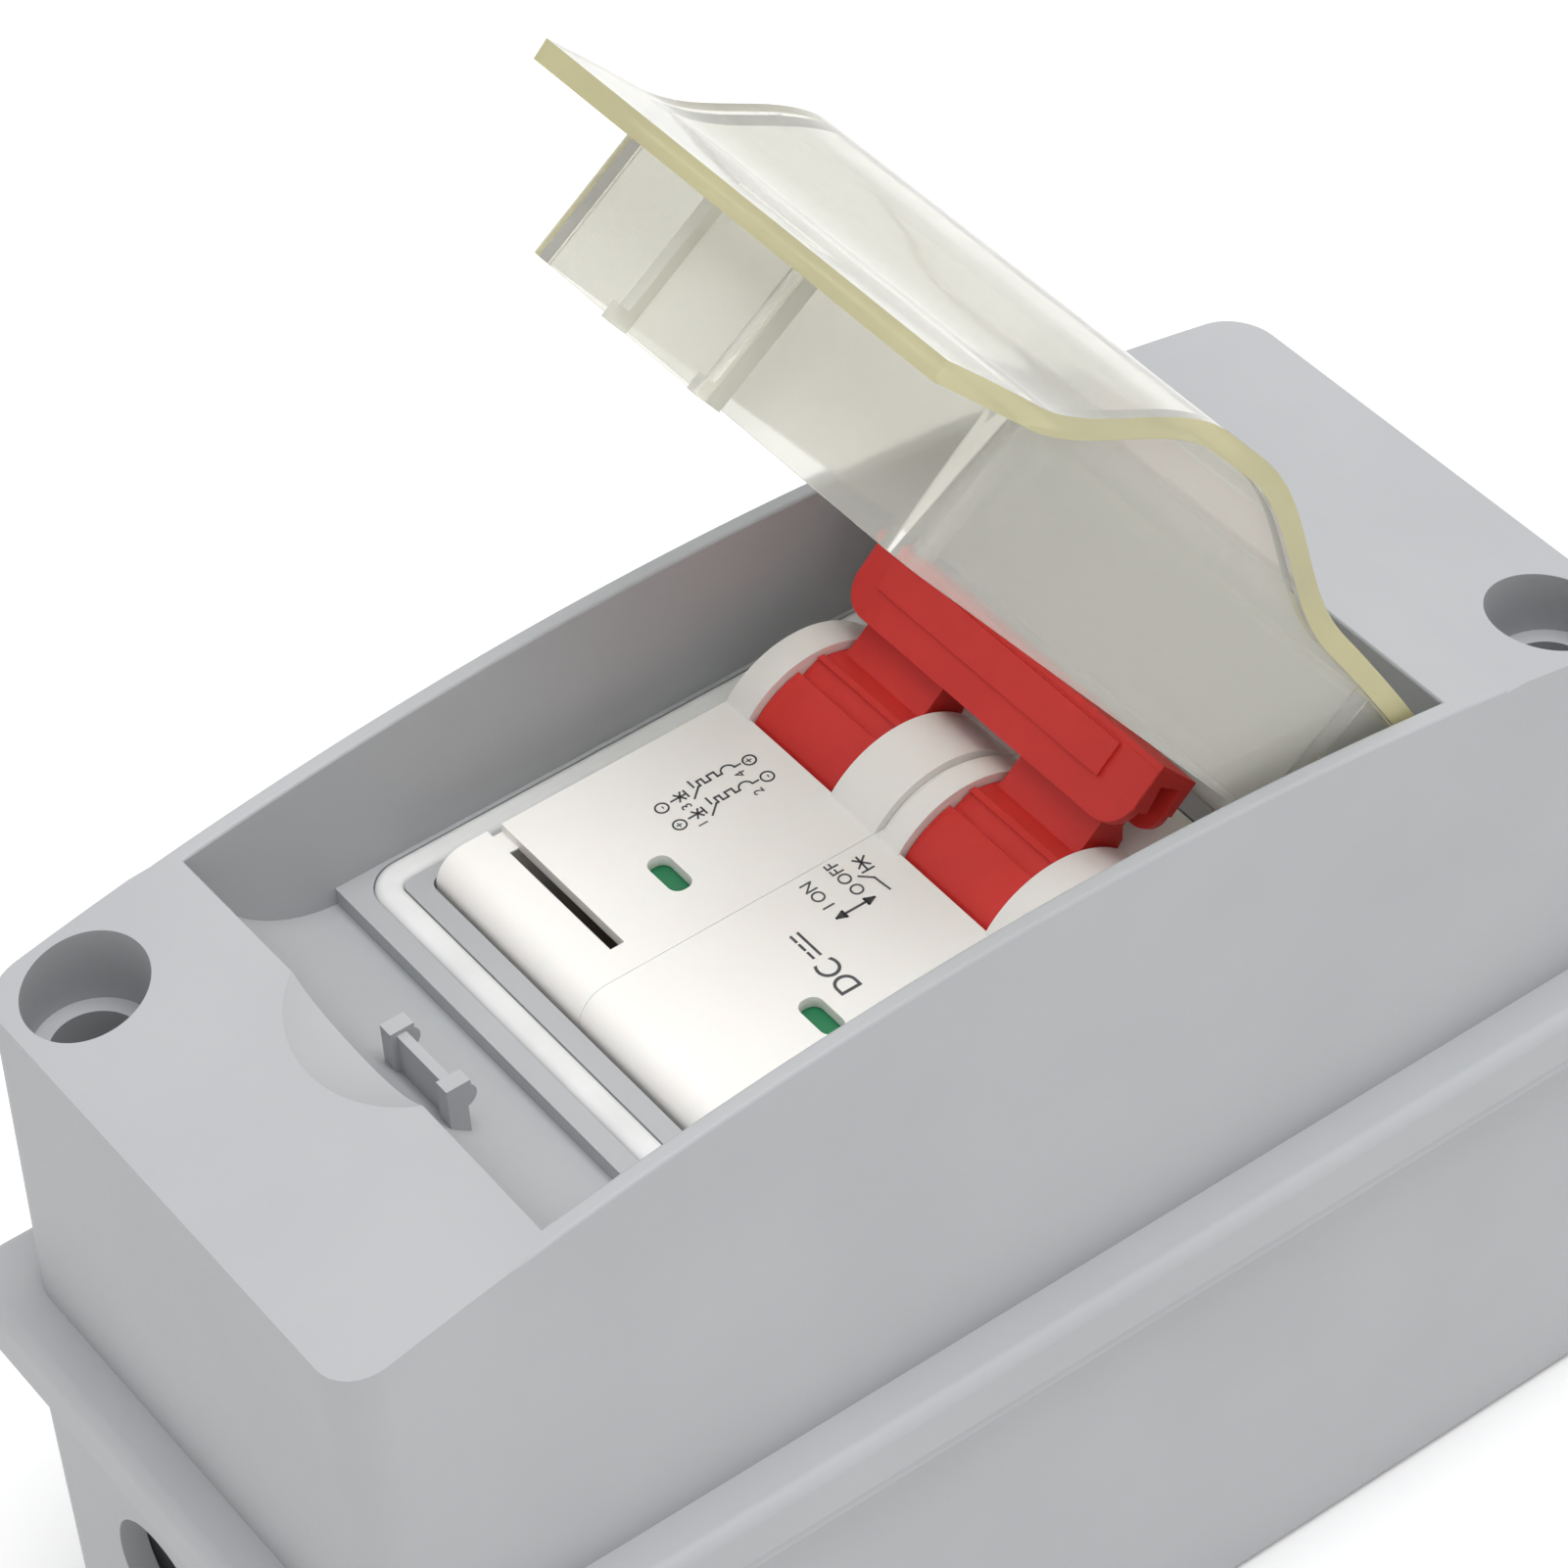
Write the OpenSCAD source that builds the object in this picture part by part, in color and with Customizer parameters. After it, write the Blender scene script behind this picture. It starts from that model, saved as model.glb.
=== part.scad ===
// Small weatherproof box for two strings of direct current, lying on its back.
// X runs along the box, Y across it, Z up out of the front face. Millimetres.
// A two-pole breaker sits on a rail inside and shows its nose in a recess of the cover,
// under a hinged clear lid. The lid is open and the breaker is off.

/* [Box] */
// Length of the upper cover where it meets its ledge
cover_l = 114.2; // [112:0.2:118]
// Width of the upper cover where it meets its ledge
cover_w = 47.9; // [47.8:0.1:50]
// Height of the ledge above the back face
ledge_z = 44.4; // [44:0.2:46]
// Height of the arched top above the back face
crown_z = 80.1; // [80:0.1:80.6]
// Radius of the arch that runs over the cover from end to end
arch_r = 241; // [230:1:260]
// How far the cover's rim stands out from its walls
rim_out = 3.8; // [3.4:0.1:4.4]
// Wall thickness of both mouldings
wall = 2.2; // [1.8:0.1:2.4]
// Radius of the upright corners
corner_r = 3.5; // [3:0.5:4]

/* [Recess] */
// Left edge of the recess at the shoulder
recess_x0 = -39.8; // [-40.2:0.1:-39.6]
// Right edge of the recess at the shoulder
recess_x1 = 36.9; // [36.8:0.1:37.4]
// Width of the recess between its side walls
recess_w = 43.9; // [43.8:0.1:44]
// Height of the recess floor above the back face
recess_z = 65.1; // [65:0.1:65.2]
// Radius of the finger notch in the left shoulder
notch_r = 9; // [7:0.5:10]

/* [Breaker] */
// Length of the breaker's body
breaker_l = 82; // [80:1:84]
// Width of one pole
pole_w = 18; // [17.8:0.1:18]
// Length of the nose that shows through the window
nose_l = 45; // [44.6:0.1:45]
// Height of the nose's face above the back face
nose_z = 68.8; // [68.6:0.1:69]
// Place of the toggles' axis along the box
toggle_x = 9.6; // [9.2:0.1:10]
// Height of the toggles' axis above the back face
toggle_z = 63.7; // [63.6:0.1:63.8]
// Lean of the toggles from upright when off
toggle_off = 38; // [34:1:40]

/* [Lid] */
// Place of the lid's hinge axis along the box
hinge_x = 29.6; // [29.4:0.1:29.8]
// Height of the lid's hinge axis above the back face
hinge_z = 73.3; // [73.2:0.1:73.5]
// Angle by which the lid stands open
lid_open = 54.8; // [50:0.1:56]
// Thickness of the clear plate
lid_t = 1.6; // [1.4:0.05:1.7]
// Height of the bulge over the toggles
bulge_h = 5.1; // [4.8:0.1:5.4]

/* [Fixings] */
// Bore of a cable entry in the end wall
entry_d = 13.5; // [12:0.5:13.5]
// Distance of a cable entry's axis from the back face
entry_z = 22.8; // [21:0.1:24]
// Bore of a wall fixing hole
fixing_d = 4.5; // [4:0.1:5]
// Distance of the two wall fixing holes along the box
fixing_l = 100; // [98:1:102]

/* [Hidden] */
$fn = 48;

eps = 0.01;
draft = 0.018;              // lean of the cover's walls, as a slope
fine = 240;                 // facets of the long arch
screw_x = 50.7;             // cover screws: far corner at the left, near corner at the right
screw_y = 17.8;
rim_h = 4.4;                // height of the cover's rim
lip_h = 1.5;                // height of the base's lip under the rim
rim_z = ledge_z - rim_h;
base_l = cover_l + 2;
base_w = cover_w + 2.1;
base_top = ledge_z - 2.8;   // top of the base wall inside the rim
rim_l = cover_l + 2 * rim_out;
rim_w = cover_w + 2 * rim_out;
floor_t = 2.5;
fit = 0.02;                 // radial gap of parts pressed or screwed together
run = 0.06;                 // radial gap of parts that turn in one another
rail_screw_x = 8;
entry_y = 7.8;              // cable entries, from the middle of the end wall
cove_r = 12.4;              // quarter-round at the latch end of the recess
heel_r = 11.7;              // quarter-round at the hinge end
cove_z = recess_z + cove_r;
notch_z = crown_z - pow(recess_x0, 2) / (2 * arch_r) + 12.05;
frame_x = 28.45;            // half length of the raised window frame
frame_z = recess_z + 1.6;
seal_out_l = 53.6;
seal_out_w = 43.2;
seal_w = 2.2;
seal_top = frame_z + 0.3;
seal_bottom = frame_z - 2.2;
window_l = nose_l + 0.8;
window_w = 2 * pole_w + 0.6;
rail_top = 10;              // the breaker's back bears on the rail here
rail_w = 35;
shoulder_z = 54;            // breaker's shoulders beside the nose
body_z = 9;                 // lowest face of the breaker's body beside the rail
drum_r = 7.4;
cheek_r = 8.1;
drum_y0 = 5.3;              // drum's two ends, from the pole's near face
drum_y1 = 15.1;
pole_gap = 0.1;
split_y = 5.2;              // the pole's cover is this thick
handle_y0 = -14.9;
handle_y1 = 17.1;
shaft_x = 1;                // axis of the moving contacts
shaft_z = 46;
terminal_x = 32.5;
strap_z = 39.1;             // top of the copper straps
flag_x = -10.2;
skirt_x = 26.2;             // outer half length of the lid's skirt when shut
skirt_y = 21;
skirt_t = 1.6;
skirt_z = seal_top + 0.1;
lid_x0 = -36;
lid_x1 = 32.2;
lid_y = 21.5;
pin_r = 1.5;
near_y = -pole_w;
poles = [0, near_y];        // near face of each pole

grey = [0.77, 0.78, 0.79];
cream = [0.94, 0.91, 0.87];
red = [0.76, 0.2, 0.19];
steel = [0.72, 0.73, 0.74];
copper = [0.8, 0.47, 0.3];
dark = [0.22, 0.22, 0.23];

// ---- shared shapes ----
module rounded(l, w, r) {
    square([l - 2 * r, w], center = true);
    square([l, w - 2 * r], center = true);
    for (sx = [-1, 1], sy = [-1, 1])
        translate([sx * (l / 2 - r), sy * (w / 2 - r)]) circle(r);
}
module slab(l, w, r, z0, z1) translate([0, 0, z0]) linear_extrude(z1 - z0) rounded(l, w, r);
module ring(l, w, r, t, z0, z1) difference() {
    slab(l, w, r, z0, z1);
    slab(l - 2 * t, w - 2 * t, max(r - t, 0.6), z0 - 1, z1 + 1);
}
module along_y(y0, y1) translate([0, y1, 0]) rotate([90, 0, 0]) linear_extrude(y1 - y0) children();
module rod_y(x, z, r, y0, y1) translate([x, y1, z]) rotate([90, 0, 0]) cylinder(h = y1 - y0, r = r);
module rod_x(y, z, r, x0, x1) translate([x0, y, z]) rotate([0, 90, 0]) cylinder(h = x1 - x0, r = r);
module rod_z(x, y, r, z0, z1) translate([x, y, z0]) cylinder(h = z1 - z0, r = r);
module block(x0, x1, y0, y1, z0, z1) translate([x0, y0, z0]) cube([x1 - x0, y1 - y0, z1 - z0]);
module drafted(l, w, r, z0, z1, slope) hull() {
    slab(l, w, r, z0, z0 + eps);
    slab(l - 2 * slope * (z1 - z0), w - 2 * slope * (z1 - z0), r, z1 - eps, z1);
}
module under_arch(drop) intersection() {
    children();
    translate([0, rim_w, crown_z - arch_r]) rotate([90, 0, 0])
        cylinder(h = 2 * rim_w, r = arch_r - drop, $fn = fine);
}
module at_screws() for (s = [-1, 1]) translate([s * screw_x, -s * screw_y, 0]) children();
module screw(d, l, head_d, head_h, slot_w) difference() {
    union() {
        translate([0, 0, -l]) cylinder(h = l + eps, d = d);
        cylinder(h = head_h, d = head_d);
    }
    for (a = [0, 90]) rotate(a)
        translate([-head_d * 0.32, -slot_w / 2, head_h * 0.35]) cube([head_d * 0.64, slot_w, head_h]);
}

// ---- enclosure ----
module base_shell() color(grey) difference() {
    union() {
        slab(base_l, base_w, 3, 0, base_top);
        slab(rim_l - 0.6, rim_w - 0.6, 3.8, rim_z - lip_h, rim_z);
    }
    difference() {
        slab(base_l - 2 * wall, base_w - 2 * wall, 1.5, floor_t, base_top + 1);
        at_screws() cylinder(h = base_top, r = 4.6);
        for (s = [-1, 1]) block(s * rail_screw_x - 4, s * rail_screw_x + 4, -9, 9, 0, floor_t + 0.5);
    }
    at_screws() translate([0, 0, base_top - 14]) cylinder(h = 20, r = 2.6 + fit);
    for (s = [-1, 1]) translate([s * fixing_l / 2, 0, -1])
        cylinder(h = floor_t + 2, d = fixing_d);
    for (s = [-1, 1], y = [-entry_y, entry_y])
        rod_x(y, entry_z, entry_d / 2, s > 0 ? base_l / 2 - wall - 1 : -base_l / 2 - 1,
              s > 0 ? base_l / 2 + 1 : -base_l / 2 + wall + 1);
    for (s = [-1, 1]) rod_z(s * rail_screw_x, 0, 1.4 + fit, 0.6, floor_t + 2);
}

module recess_outline(grow) {
    x0 = recess_x0 + cove_r;
    x1 = recess_x1 - heel_r;
    translate([x0, recess_z - grow]) square([x1 - x0, 40]);
    translate([recess_x0 - grow, cove_z]) square([recess_x1 - recess_x0 + 2 * grow, 40]);
    translate([x1, recess_z + heel_r]) square([heel_r + grow, 40]);
    translate([x0, cove_z]) circle(cove_r + grow, $fn = 96);
    translate([x1, recess_z + heel_r]) circle(heel_r + grow, $fn = 96);
}
module catch_post() {
    // two posts with a rounded hook on each, and a lower bar between them
    top = 72;
    block(-35.3, -34.5, -4, 4, recess_z, top - 0.4);
    for (y = [-4.1, 2.8]) {
        block(-35.8, -34.25, y, y + 1.3, recess_z, top);
        block(-34.6, -33.85, y, y + 1.3, top - 1.1, top);
        rod_y(-34.5, top - 1.3, 1.05, y, y + 1.3);
    }
}
module cover_shell() color(grey) difference() {
    union() {
        difference() {
            under_arch(0) drafted(cover_l, cover_w, corner_r, ledge_z - 1, crown_z + 1, draft);
            difference() {
                under_arch(wall)
                    drafted(cover_l - 2 * wall, cover_w - 2 * wall, 1.5, ledge_z - 2, crown_z, draft);
                along_y(-rim_w, rim_w) recess_outline(wall);
                block(-frame_x - wall, frame_x + wall, -rim_w, rim_w, recess_z - 3, crown_z);
                at_screws() cylinder(h = crown_z, r = 6);
            }
            along_y(-recess_w / 2, recess_w / 2) recess_outline(0);
        }
        slab(rim_l, rim_w, 4, rim_z, ledge_z);
        intersection() {
            block(-frame_x, frame_x, -recess_w / 2 - eps, recess_w / 2 + eps, recess_z - 3, frame_z);
            slab(2 * frame_x, recess_w + 1, 0.5, recess_z - 3, crown_z);
        }
        intersection() {
            catch_post();
            block(-40, -30, -10, 10, recess_z, crown_z);
        }
    }
    slab(base_l + 0.5, base_w + 0.5, 3.2, rim_z - 1, base_top + 0.8);
    difference() {
        slab(cover_l - 2 * wall, cover_w - 2 * wall, 1.5, rim_z, ledge_z + 1);
        at_screws() cylinder(h = crown_z, r = 6);
    }
    slab(window_l, window_w, 1, recess_z - 4, crown_z);
    ring(seal_out_l + 0.02, seal_out_w + 0.02, 3, seal_w + 0.02, seal_bottom, crown_z);
    translate([recess_x0 + 3.8, 0, notch_z]) sphere(r = sqrt(pow(notch_r, 2) + 144), $fn = 96);
    at_screws() {
        translate([0, 0, ledge_z - 5]) cylinder(h = crown_z, r = 2.2);
        translate([0, 0, ledge_z + 3]) cylinder(h = crown_z, r = 3.4);
        translate([0, 0, 68.7]) cylinder(h = crown_z, r = 4.7);
    }
    rod_y(hinge_x, hinge_z, pin_r + run, -recess_w / 2 - 0.9, recess_w / 2 + 0.9);
}
module cover_seal() color(dark)
    ring(base_l - 0.4, base_w - 0.4, 2.8, 1.6, base_top, base_top + 0.8);
module cover_screws() color(steel) at_screws() translate([0, 0, ledge_z + 3])
    screw(4, 13, 6.2, 2.4, 1);
module cover_inserts() color([0.8, 0.66, 0.35]) at_screws() difference() {
    translate([0, 0, base_top - 9.2]) cylinder(h = 9, r = 2.6);
    translate([0, 0, base_top - 10]) cylinder(h = 11, r = 2 + fit);
}
module window_seal() color("white")
    ring(seal_out_l, seal_out_w, 3, seal_w, seal_bottom, seal_top);

// ---- clear lid ----
function ease(t) = 0.5 - 0.5 * cos(180 * min(1, max(0, t)));
function arch(x) = crown_z - pow(x, 2) / (2 * arch_r);
function bulge(x) = bulge_h * (x < -6 ? ease((x + 26) / 17.5) : ease((16.5 - x) / 20));
function lid_top(x) = arch(x) + 1.35 + bulge(x);
lid_steps = 48;
lid_xs = [for (i = [0:lid_steps]) lid_x0 + (lid_x1 - lid_x0) * i / lid_steps];
module lid_profile() polygon(concat(
    [for (x = lid_xs) [x, lid_top(x)]],
    [for (i = [lid_steps:-1:0]) [lid_xs[i], lid_top(lid_xs[i]) - lid_t]]));
module under_lid() polygon(concat(
    [for (x = lid_xs) [x, lid_top(x) - lid_t / 2]], [[lid_x1, 60], [lid_x0, 60]]));
module lid_latch() {
    block(-31.4, -30.4, -5.2, 5.2, skirt_z, crown_z);
    for (y = [-5.2, 4.2]) {
        block(-32.5, -30.4, y, y + 1, skirt_z, crown_z);
        block(-33.25, -30.4, y, y + 1, skirt_z, skirt_z + 1.3);
    }
}
module lid_shut() {
    along_y(-lid_y, lid_y) lid_profile();
    intersection() {
        union() {
            ring(2 * skirt_x, 2 * skirt_y, 2.5, skirt_t, skirt_z, 90);
            lid_latch();
            for (y = [-skirt_y, skirt_y - skirt_t]) {
                block(skirt_x - 3, hinge_x + 2.4, y, y + skirt_t, hinge_z, 90);
                rod_y(hinge_x, hinge_z, 3, y, y + skirt_t);
            }
        }
        along_y(-lid_y, lid_y) under_lid();
    }
    for (s = [-1, 1]) rod_y(hinge_x, hinge_z, pin_r, s > 0 ? skirt_y - 1 : -recess_w / 2 - 0.8,
                            s > 0 ? recess_w / 2 + 0.8 : -skirt_y + 1);
}
module window_lid() color([0.93, 0.92, 0.78, 0.4])
    translate([hinge_x, 0, hinge_z]) rotate([0, lid_open, 0]) translate([-hinge_x, 0, -hinge_z]) lid_shut();

// ---- rail ----
module din_rail() color(steel) difference() {
    along_y(-22.4, 22.4) {
        translate([-13.5, floor_t + 0.5]) square([27, 1]);
        for (s = [-1, 1]) {
            translate([s * 13 - 0.5, floor_t + 0.5]) square([1, rail_top - floor_t - 0.5]);
            translate([s * 15 - 2.5, rail_top - 1]) square([5, 1]);
        }
    }
    for (s = [-1, 1]) rod_z(s * rail_screw_x, 0, 1.7, 0, 6);
}
module rail_screws() color(steel) for (s = [-1, 1])
    translate([s * rail_screw_x, 0, floor_t + 1.5]) screw(2.8, 3.2, 5.2, 1.7, 0.8);

// ---- breaker ----
module pole_outline() difference() {
    union() {
        translate([-breaker_l / 2, body_z]) square([breaker_l, shoulder_z - body_z]);
        translate([18.3, 6.6]) square([10, 10]);
        translate([16.3, 6.6]) square([4, 2.2]);
        translate([-nose_l / 2, shoulder_z - 1]) square([nose_l, nose_z - shoulder_z + 1 - 2.5]);
        translate([-nose_l / 2 + 2.5, shoulder_z]) square([nose_l - 5, nose_z - shoulder_z]);
        for (s = [-1, 1]) translate([s * (nose_l / 2 - 2.5), nose_z - 2.5]) circle(2.5);
        translate([toggle_x, toggle_z]) circle(cheek_r, $fn = 96);
    }
    translate([-rail_w / 2 - 1.1, 8.8]) square([rail_w + 1.4, rail_top - 8.8]);
    translate([-rail_w / 2 - 1.1, 0]) square([rail_w - 0.2, 9.5]);
}
module pole_hollow() {
    translate([-breaker_l / 2 + 1.8, 12]) square([breaker_l - 3.6, shoulder_z - 15.5]);
    translate([-nose_l / 2 + 1.8, 40]) square([nose_l - 3.6, nose_z - 41.6 - 2]);
    translate([-nose_l / 2 + 3, 60]) square([nose_l - 6, nose_z - 61]);
}
module pole_cuts(y) {
    // drum slot, indicator window, terminal holes and rivet holes
    intersection() {
        block(toggle_x - 20, toggle_x + 20, y + drum_y0 - 0.1, y + drum_y1 + 0.1, 50, nose_z + 0.5);
        rod_y(toggle_x, toggle_z, cheek_r - 0.15, y, y + pole_w);
    }
    block(toggle_x - 9, toggle_x + 9, y + drum_y0 - 0.1, y + drum_y1 + 0.1, nose_z, 90);
    block(flag_x - 0.95, flag_x + 0.95, y + 4.1, y + 8.1, nose_z - 4, nose_z + 1);
    for (s = [-1, 1]) {
        rod_z(s * terminal_x, y + pole_w / 2, 4.2, 48, 60);
        rod_x(y + pole_w / 2, 33, 4.5, s > 0 ? 35 : -45, s > 0 ? 45 : -35);
    }
    for (p = rivet_places) rod_y(p[0], p[1], 1.3 + fit, y - 1, y + pole_w + 1);
    rod_y(toggle_x, toggle_z, 1.5 + fit, y + 1.6, y + pole_w - 0.6);
    rod_y(shaft_x, shaft_z, 2.2 + fit, y + 0.9, y + pole_w - 0.9);
}
rivet_places = [[-21, 14.2], [21, 14.2], [-23.6, 47], [23.6, 47], [-19, 61.5]];
module pole_part(y, y0, y1, hollow_y0, hollow_y1) color(cream) difference() {
    along_y(y + y0, y + y1) pole_outline();
    difference() {
        along_y(y + hollow_y0, y + hollow_y1) pole_hollow();
        for (p = rivet_places) rod_y(p[0], p[1], 2.4, y, y + pole_w);
    }
    pole_cuts(y);
}
module far_pole_case() difference() {
    pole_part(0, split_y, pole_w - pole_gap, split_y - 1, pole_w - 1.9);
    block(-17.7, -16.7, 2.6, pole_w + 1, nose_z - 0.8, nose_z + 1);
    block(-17.7, -16.7, 2.6, 15.8, nose_z - 3, nose_z);
}
module far_pole_cover() difference() {
    pole_part(0, pole_gap, split_y, 1.9, split_y + 1);
    block(-17.7, -16.7, 2.6, pole_w + 1, nose_z - 0.8, nose_z + 1);
    block(-17.7, -16.7, 2.6, 15.8, nose_z - 3, nose_z);
}
module near_pole_case() pole_part(near_y, split_y, pole_w - pole_gap, split_y - 1, pole_w - 1.9);
module near_pole_cover() pole_part(near_y, pole_gap, split_y, 1.9, split_y + 1);
module case_rivets() color(steel) for (p = rivet_places)
    rod_y(p[0], p[1], 1.3, near_y + pole_gap, pole_w - pole_gap);

// toggle: a drum with a blade that leans by toggle_off; the tie bar clips over both blades
module leaning() translate([toggle_x, 0, toggle_z]) rotate([0, toggle_off, 0]) children();
module toggle(y) color(red) difference() {
    leaning() {
        rod_y(0, 0, drum_r, y + drum_y0, y + drum_y1);
        along_y(y + drum_y0 + 0.4, y + drum_y1 - 0.4) polygon([
            [-3, 6], [-2.2, 7.7], [-1.85, 9.4], [-1.9, 11.9], [-1.1, 11.9], [-0.9, 14.1],
            [0.7, 14.1], [0.7, 9.6], [1.4, 8.6], [1.4, 6]]);
    }
    rod_y(toggle_x, toggle_z, 1.5 + run, y, y + pole_w);
}
module toggle_far() toggle(0);
module toggle_near() toggle(near_y);
module tab(y0, y1, z1, r, t) rotate([90, 0, 90]) linear_extrude(t) {
    // an upright plate in Y and Z with its two lower corners rounded
    translate([y0 + r, 0]) square([y1 - y0 - 2 * r, z1]);
    translate([y0, r]) square([y1 - y0, z1 - r]);
    for (y = [y0 + r, y1 - r]) translate([y, r]) circle(r);
}
module handle_tie_bar() color(red) leaning() {
    along_y(handle_y0, handle_y1) polygon([
        [-2.8, 12.1], [-2.1, 15.95], [2.2, 15.05], [1.6, 12.1],
        [0.8, 12.1], [0.8, 14.3], [-1.2, 14.3], [-1.2, 12.1]]);
    translate([-3.25, 0, 10.05]) rotate([0, 10.4, 0]) {
        tab(handle_y0 + 0.05, handle_y1 - 0.05, 5.5, 2.6, 0.9);
        block(-0.3, 0.3, -10.9, 14.6, 2.5, 5.3);
    }
    translate([0.85, 0, 10.1]) tab(handle_y0 + 0.2, handle_y1 - 0.2, 2.5, 1.9, 0.7);
}
module toggle_pins() color(steel) for (y = poles)
    rod_y(toggle_x, toggle_z, 1.5, y + 1.7, y + pole_w - 0.7);

module flag(y) color([0.24, 0.55, 0.39])
    block(flag_x - 1.6, flag_x + 4.8, y + 3.6, y + 8.4, nose_z - 1.9, nose_z - 1.1);
module flag_far() flag(0);
module flag_near() flag(near_y);

module contact_shaft() color(dark)
    for (y = poles) rod_y(shaft_x, shaft_z, 2.2, y + 1, y + pole_w - 1);
module moving_contacts() color(copper) for (y = poles)
    translate([shaft_x, y + pole_w / 2, shaft_z]) rotate([0, 12, 0]) difference() {
        union() {
            rotate([90, 0, 0]) cylinder(h = 4, r = 4, center = true);
            translate([-16, -2, -2.2]) cube([16, 4, 2.2]);
            translate([-16, -2, -5.7]) cube([3, 4, 4]);
        }
        rotate([90, 0, 0]) cylinder(h = 6, r = 2.2 + run, center = true);
    }
module fixed_contacts() color(copper) for (y = poles)
    block(-26, -12.4, y + 6.4, y + 11.6, strap_z - 1.2, strap_z);
module contact_tips() color(steel) for (y = poles)
    block(-17.4, -13.4, y + 7.2, y + 10.8, strap_z, strap_z + 1);
module arc_chute_plates() color(steel) for (y = poles, i = [0:8])
    block(-22.5, -8.5, y + 4, y + 14, 17.6 + i * 2.05, 18.5 + i * 2.05);
module arc_chute_frames() color([0.75, 0.72, 0.6]) for (y = poles, dy = [2.4, 14.1])
    block(-23, -8, y + dy, y + dy + 1.5, 17, 36);
module blowout_magnets() color(dark) for (y = poles)
    block(-6.5, -3.5, y + 4, y + 14, 18, 30);
module trip_coils() color(copper) for (y = poles, i = [0:4])
    translate([8 + i * 2.6, y + pole_w / 2, 27]) rotate([0, 90, 0])
        rotate_extrude() translate([5.3, 0]) circle(1.1, $fn = 24);
module coil_bobbins() color(dark) for (y = poles) difference() {
    union() {
        rod_x(y + pole_w / 2, 27, 4, 5.6, 21.2);
        for (x = [4.4, 20.8]) rod_x(y + pole_w / 2, 27, 6, x, x + 1.2);
    }
    rod_x(y + pole_w / 2, 27, 2.6, 0, 30);
}
module trip_plungers() color(steel) for (y = poles) {
    rod_x(y + pole_w / 2, 27, 2.5, 7, 24);
    rod_x(y + pole_w / 2, 27, 1, 1, 8);
}
module bimetal_strips() color([0.66, 0.6, 0.5]) for (y = poles)
    block(25.4, 26.2, y + 6, y + 12, 17, 41);
module terminal_cages() color(steel) for (y = poles, s = [-1, 1]) difference() {
    block(s * terminal_x - 5, s * terminal_x + 5, y + 4, y + 14, 27, 43);
    block(s * terminal_x - 6, s * terminal_x + 6, y + 5.5, y + 12.5, 29, 41);
    rod_z(s * terminal_x, y + pole_w / 2, 2.5 + fit, 40, 44);
}
module terminal_straps() color(copper) for (y = poles, s = [-1, 1])
    block(s > 0 ? 26.2 : -38.5, s > 0 ? 38.5 : -26, y + 6.4, y + 11.6, strap_z - 1.2, strap_z);
module terminal_screws() color(steel) for (y = poles, s = [-1, 1])
    translate([s * terminal_x, y + pole_w / 2, 45]) screw(5, 5.8, 7, 3, 1.1);

module rail_clip(y) color(cream) {
    block(-45, -20, y + 6, y + 12, 6.6, body_z - 0.05);
    block(-21, -16.2, y + 6, y + 12, 6.6, body_z - 0.2);
    block(-45, -43, y + 6, y + 12, 6.6, 13);
}
module rail_clip_far() rail_clip(0);
module rail_clip_near() rail_clip(near_y);
module clip_springs() color(steel) for (y = poles, i = [0:5])
    translate([-33 + i * 2, y + 3.6, 7.2]) rotate([0, 90, 0])
        rotate_extrude() translate([1.2, 0]) circle(0.3, $fn = 16);

base_shell();
cover_shell();
cover_seal();
cover_screws();
cover_inserts();
window_seal();
window_lid();
din_rail();
rail_screws();
far_pole_case();
far_pole_cover();
near_pole_case();
near_pole_cover();
case_rivets();
toggle_far();
toggle_near();
handle_tie_bar();
toggle_pins();
flag_far();
flag_near();
contact_shaft();
moving_contacts();
fixed_contacts();
contact_tips();
arc_chute_plates();
arc_chute_frames();
blowout_magnets();
trip_coils();
coil_bobbins();
trip_plungers();
bimetal_strips();
terminal_cages();
terminal_straps();
terminal_screws();
rail_clip_far();
rail_clip_near();
clip_springs();
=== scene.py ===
import bpy, math
from mathutils import Matrix, Vector


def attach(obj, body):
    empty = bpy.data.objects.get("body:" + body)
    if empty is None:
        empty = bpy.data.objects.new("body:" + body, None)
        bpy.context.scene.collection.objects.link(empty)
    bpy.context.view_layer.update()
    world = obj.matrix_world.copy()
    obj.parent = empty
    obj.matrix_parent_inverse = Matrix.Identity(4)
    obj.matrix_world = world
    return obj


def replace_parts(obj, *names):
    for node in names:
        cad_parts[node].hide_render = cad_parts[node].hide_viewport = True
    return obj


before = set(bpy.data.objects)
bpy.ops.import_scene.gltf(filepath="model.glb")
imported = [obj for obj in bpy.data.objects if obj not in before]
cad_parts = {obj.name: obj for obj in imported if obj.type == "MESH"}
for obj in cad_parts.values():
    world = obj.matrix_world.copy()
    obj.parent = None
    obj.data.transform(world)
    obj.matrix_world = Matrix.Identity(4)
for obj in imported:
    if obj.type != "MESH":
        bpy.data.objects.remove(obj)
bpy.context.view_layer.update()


# ---- Base moulding -------------------------------------------------------------------------
# A tub of grey ABS that stands against the wall: 2.2 mm walls, a lip all round that the cover's
# rim sits on, two screw pillars, two pads for the rail, cable entries in both end walls and two
# wall fixing holes in the back. Sizes are in millimetres until a piece is finished.
def only(piece):
    if bpy.context.object and bpy.context.object.mode != "OBJECT":
        bpy.ops.object.mode_set(mode="OBJECT")
    bpy.ops.object.select_all(action="DESELECT")
    if piece:
        piece.select_set(True)
        bpy.context.view_layer.objects.active = piece


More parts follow.
